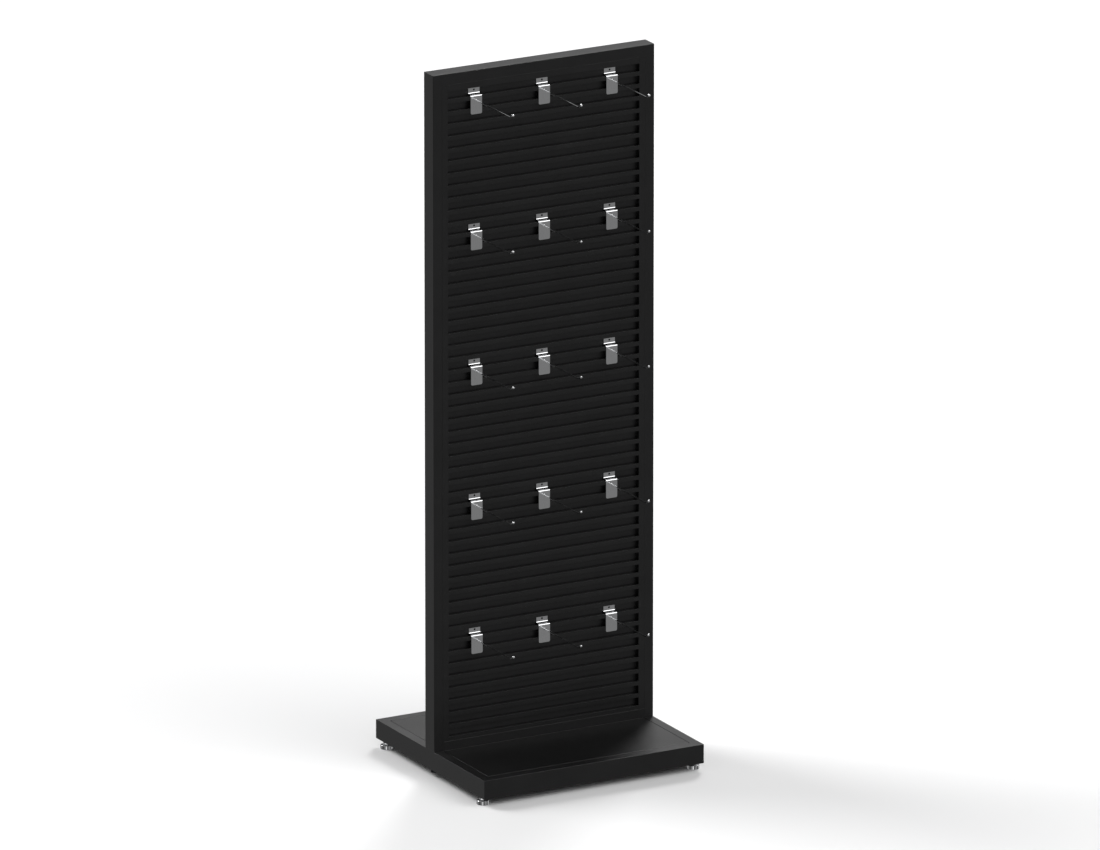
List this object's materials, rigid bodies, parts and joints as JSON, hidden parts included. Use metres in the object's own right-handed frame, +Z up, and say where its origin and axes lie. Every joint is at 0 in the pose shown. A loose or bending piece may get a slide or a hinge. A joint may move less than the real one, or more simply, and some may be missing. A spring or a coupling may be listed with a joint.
{
  "type": "slatwall display stand",
  "caption": "Free-standing double-sided slat display stand: a slatted upright on a flat base, with levelling feet and ball-ended faceplate hooks on its front.",
  "frame": {"origin": "centre of the base's footprint, on the floor", "axes": "+X across the width to the right seen from the front, -Y towards the front, where the hooks are, +Z up"},
  "size_m": [0.615, 0.56, 1.7825],
  "materials": {
    "frame_paint": "satin black powder coat",
    "trim_paint": "satin black powder coat",
    "slat_paint": "satin black powder coat",
    "sheet_paint": "satin black powder coat",
    "deck_paint": "satin black powder coat",
    "inner_steel": "black powder coat on hidden steel",
    "zinc_steel": "zinc plated",
    "black_bolt": "black oxide",
    "foot_chrome": "bright chrome",
    "hook_plate_chrome": "bright chrome",
    "hook_wire_chrome": "bright chrome"
  },
  "bodies": {
    "stand": {"left_stile": "frame_paint", "right_stile": "frame_paint", "top_rail": "frame_paint", "bottom_rail": "frame_paint", "base_left_rail": "frame_paint", "base_right_rail": "frame_paint", "base_front_rail": "frame_paint", "base_rear_rail": "frame_paint", "front_trim": "trim_paint", "rear_trim": "trim_paint", "front_slats": "slat_paint", "rear_slats": "slat_paint", "front_back_sheet": "sheet_paint", "rear_back_sheet": "sheet_paint", "center_beam": "inner_steel", "deck_ledges": "inner_steel", "core_stiffeners": "inner_steel", "stile_plugs": "zinc_steel", "foot_inserts": "zinc_steel", "upright_bolts": "black_bolt"},
    "front_deck": {"front_deck": "deck_paint"},
    "rear_deck": {"rear_deck": "deck_paint"},
    "front_left_foot_pad": {"front_left_foot_pad": "foot_chrome"},
    "front_left_foot_stem": {"front_left_foot_stem": "foot_chrome"},
    "front_right_foot_pad": {"front_right_foot_pad": "foot_chrome"},
    "front_right_foot_stem": {"front_right_foot_stem": "foot_chrome"},
    "rear_left_foot_pad": {"rear_left_foot_pad": "foot_chrome"},
    "rear_left_foot_stem": {"rear_left_foot_stem": "foot_chrome"},
    "rear_right_foot_pad": {"rear_right_foot_pad": "foot_chrome"},
    "rear_right_foot_stem": {"rear_right_foot_stem": "foot_chrome"},
    "hook_r1_c1": {"hook_plate_r1_c1": "hook_plate_chrome", "hook_wire_r1_c1": "hook_wire_chrome"},
    "hook_r1_c2": {"hook_plate_r1_c2": "hook_plate_chrome", "hook_wire_r1_c2": "hook_wire_chrome"},
    "hook_r1_c3": {"hook_plate_r1_c3": "hook_plate_chrome", "hook_wire_r1_c3": "hook_wire_chrome"},
    "hook_r2_c1": {"hook_plate_r2_c1": "hook_plate_chrome", "hook_wire_r2_c1": "hook_wire_chrome"},
    "hook_r2_c2": {"hook_plate_r2_c2": "hook_plate_chrome", "hook_wire_r2_c2": "hook_wire_chrome"},
    "hook_r2_c3": {"hook_plate_r2_c3": "hook_plate_chrome", "hook_wire_r2_c3": "hook_wire_chrome"},
    "hook_r3_c1": {"hook_plate_r3_c1": "hook_plate_chrome", "hook_wire_r3_c1": "hook_wire_chrome"},
    "hook_r3_c2": {"hook_plate_r3_c2": "hook_plate_chrome", "hook_wire_r3_c2": "hook_wire_chrome"},
    "hook_r3_c3": {"hook_plate_r3_c3": "hook_plate_chrome", "hook_wire_r3_c3": "hook_wire_chrome"},
    "hook_r4_c1": {"hook_plate_r4_c1": "hook_plate_chrome", "hook_wire_r4_c1": "hook_wire_chrome"},
    "hook_r4_c2": {"hook_plate_r4_c2": "hook_plate_chrome", "hook_wire_r4_c2": "hook_wire_chrome"},
    "hook_r4_c3": {"hook_plate_r4_c3": "hook_plate_chrome", "hook_wire_r4_c3": "hook_wire_chrome"},
    "hook_r5_c1": {"hook_plate_r5_c1": "hook_plate_chrome", "hook_wire_r5_c1": "hook_wire_chrome"},
    "hook_r5_c2": {"hook_plate_r5_c2": "hook_plate_chrome", "hook_wire_r5_c2": "hook_wire_chrome"},
    "hook_r5_c3": {"hook_plate_r5_c3": "hook_plate_chrome", "hook_wire_r5_c3": "hook_wire_chrome"}
  },
  "joints": [
    {"name": "front_deck_lift", "type": "slide", "parent": "stand", "child": "front_deck", "axis": [0, 0, 1], "range_m": [0, 0.06]},
    {"name": "rear_deck_lift", "type": "slide", "parent": "stand", "child": "rear_deck", "axis": [0, 0, 1], "range_m": [0, 0.06]},
    {"name": "front_left_foot_height", "type": "slide", "parent": "stand", "child": "front_left_foot_pad", "axis": [0, 0, 1], "range_m": [-0.015, 0.003]},
    {"name": "front_left_foot_turn", "type": "hinge", "parent": "front_left_foot_pad", "child": "front_left_foot_stem", "pos_m": [-0.2925, -0.249, 0], "axis": [0, 0, 1], "range_deg": [-3600, 720]},
    {"name": "front_right_foot_height", "type": "slide", "parent": "stand", "child": "front_right_foot_pad", "axis": [0, 0, 1], "range_m": [-0.015, 0.003]},
    {"name": "front_right_foot_turn", "type": "hinge", "parent": "front_right_foot_pad", "child": "front_right_foot_stem", "pos_m": [0.2925, -0.249, 0], "axis": [0, 0, 1], "range_deg": [-3600, 720]},
    {"name": "rear_left_foot_height", "type": "slide", "parent": "stand", "child": "rear_left_foot_pad", "axis": [0, 0, 1], "range_m": [-0.015, 0.003]},
    {"name": "rear_left_foot_turn", "type": "hinge", "parent": "rear_left_foot_pad", "child": "rear_left_foot_stem", "pos_m": [-0.2925, 0.249, 0], "axis": [0, 0, 1], "range_deg": [-3600, 720]},
    {"name": "rear_right_foot_height", "type": "slide", "parent": "stand", "child": "rear_right_foot_pad", "axis": [0, 0, 1], "range_m": [-0.015, 0.003]},
    {"name": "rear_right_foot_turn", "type": "hinge", "parent": "rear_right_foot_pad", "child": "rear_right_foot_stem", "pos_m": [0.2925, 0.249, 0], "axis": [0, 0, 1], "range_deg": [-3600, 720]},
    {"name": "hook_r1_c1_slide", "type": "slide", "parent": "stand", "child": "hook_r1_c1", "axis": [1, 0, 0], "range_m": [-0.055, 0.055]},
    {"name": "hook_r1_c2_slide", "type": "slide", "parent": "stand", "child": "hook_r1_c2", "axis": [1, 0, 0], "range_m": [-0.055, 0.055]},
    {"name": "hook_r1_c3_slide", "type": "slide", "parent": "stand", "child": "hook_r1_c3", "axis": [1, 0, 0], "range_m": [-0.055, 0.055]},
    {"name": "hook_r2_c1_slide", "type": "slide", "parent": "stand", "child": "hook_r2_c1", "axis": [1, 0, 0], "range_m": [-0.055, 0.055]},
    {"name": "hook_r2_c2_slide", "type": "slide", "parent": "stand", "child": "hook_r2_c2", "axis": [1, 0, 0], "range_m": [-0.055, 0.055]},
    {"name": "hook_r2_c3_slide", "type": "slide", "parent": "stand", "child": "hook_r2_c3", "axis": [1, 0, 0], "range_m": [-0.055, 0.055]},
    {"name": "hook_r3_c1_slide", "type": "slide", "parent": "stand", "child": "hook_r3_c1", "axis": [1, 0, 0], "range_m": [-0.055, 0.055]},
    {"name": "hook_r3_c2_slide", "type": "slide", "parent": "stand", "child": "hook_r3_c2", "axis": [1, 0, 0], "range_m": [-0.055, 0.055]},
    {"name": "hook_r3_c3_slide", "type": "slide", "parent": "stand", "child": "hook_r3_c3", "axis": [1, 0, 0], "range_m": [-0.055, 0.055]},
    {"name": "hook_r4_c1_slide", "type": "slide", "parent": "stand", "child": "hook_r4_c1", "axis": [1, 0, 0], "range_m": [-0.055, 0.055]},
    {"name": "hook_r4_c2_slide", "type": "slide", "parent": "stand", "child": "hook_r4_c2", "axis": [1, 0, 0], "range_m": [-0.055, 0.055]},
    {"name": "hook_r4_c3_slide", "type": "slide", "parent": "stand", "child": "hook_r4_c3", "axis": [1, 0, 0], "range_m": [-0.055, 0.055]},
    {"name": "hook_r5_c1_slide", "type": "slide", "parent": "stand", "child": "hook_r5_c1", "axis": [1, 0, 0], "range_m": [-0.055, 0.055]},
    {"name": "hook_r5_c2_slide", "type": "slide", "parent": "stand", "child": "hook_r5_c2", "axis": [1, 0, 0], "range_m": [-0.055, 0.055]},
    {"name": "hook_r5_c3_slide", "type": "slide", "parent": "stand", "child": "hook_r5_c3", "axis": [1, 0, 0], "range_m": [-0.055, 0.055]}
  ],
  "couplings": [
    {"joint": "front_left_foot_turn", "follows": "front_left_foot_height", "rad_per_m": 4188.8},
    {"joint": "front_right_foot_turn", "follows": "front_right_foot_height", "rad_per_m": 4188.8},
    {"joint": "rear_left_foot_turn", "follows": "rear_left_foot_height", "rad_per_m": 4188.8},
    {"joint": "rear_right_foot_turn", "follows": "rear_right_foot_height", "rad_per_m": 4188.8}
  ]
}
